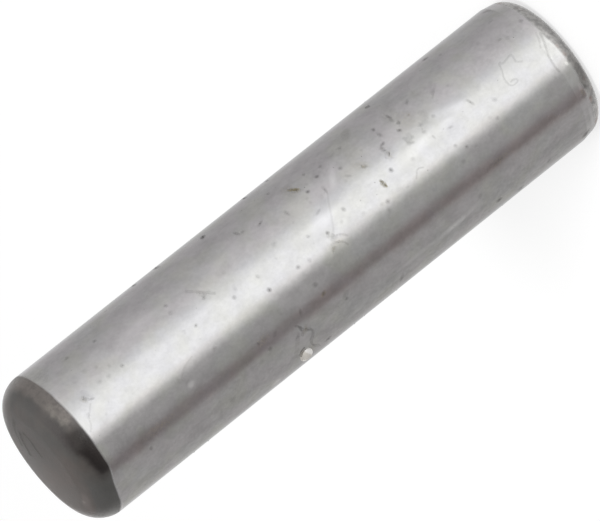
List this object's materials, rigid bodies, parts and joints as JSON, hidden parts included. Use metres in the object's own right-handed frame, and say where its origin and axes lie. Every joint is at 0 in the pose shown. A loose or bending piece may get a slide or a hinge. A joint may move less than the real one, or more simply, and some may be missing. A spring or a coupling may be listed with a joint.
{
  "type": "dowel pin",
  "caption": "Short hardened steel dowel pin with a polished ground shank, a crowned end and a tapered lead end.",
  "frame": {"origin": "centre of the flat foot face at the lead end, which the pin stands on", "axes": "+Z along the pin's axis, from the lead end to the crowned end; the pin is round, so X and Y are free"},
  "size_m": [0.0064, 0.0064, 0.0256],
  "materials": {
    "ground_steel": "ground bright shank with an oil film, dark unground ends",
    "oil": "thin clear oil drop and smears, left wet on the shank",
    "grit": "dark specks of grit and scale stuck in the oil",
    "fibre": "fine lint fibres stuck in the oil"
  },
  "bodies": {
    "root": {"dowel_pin": "ground_steel"}
  },
  "joints": []
}
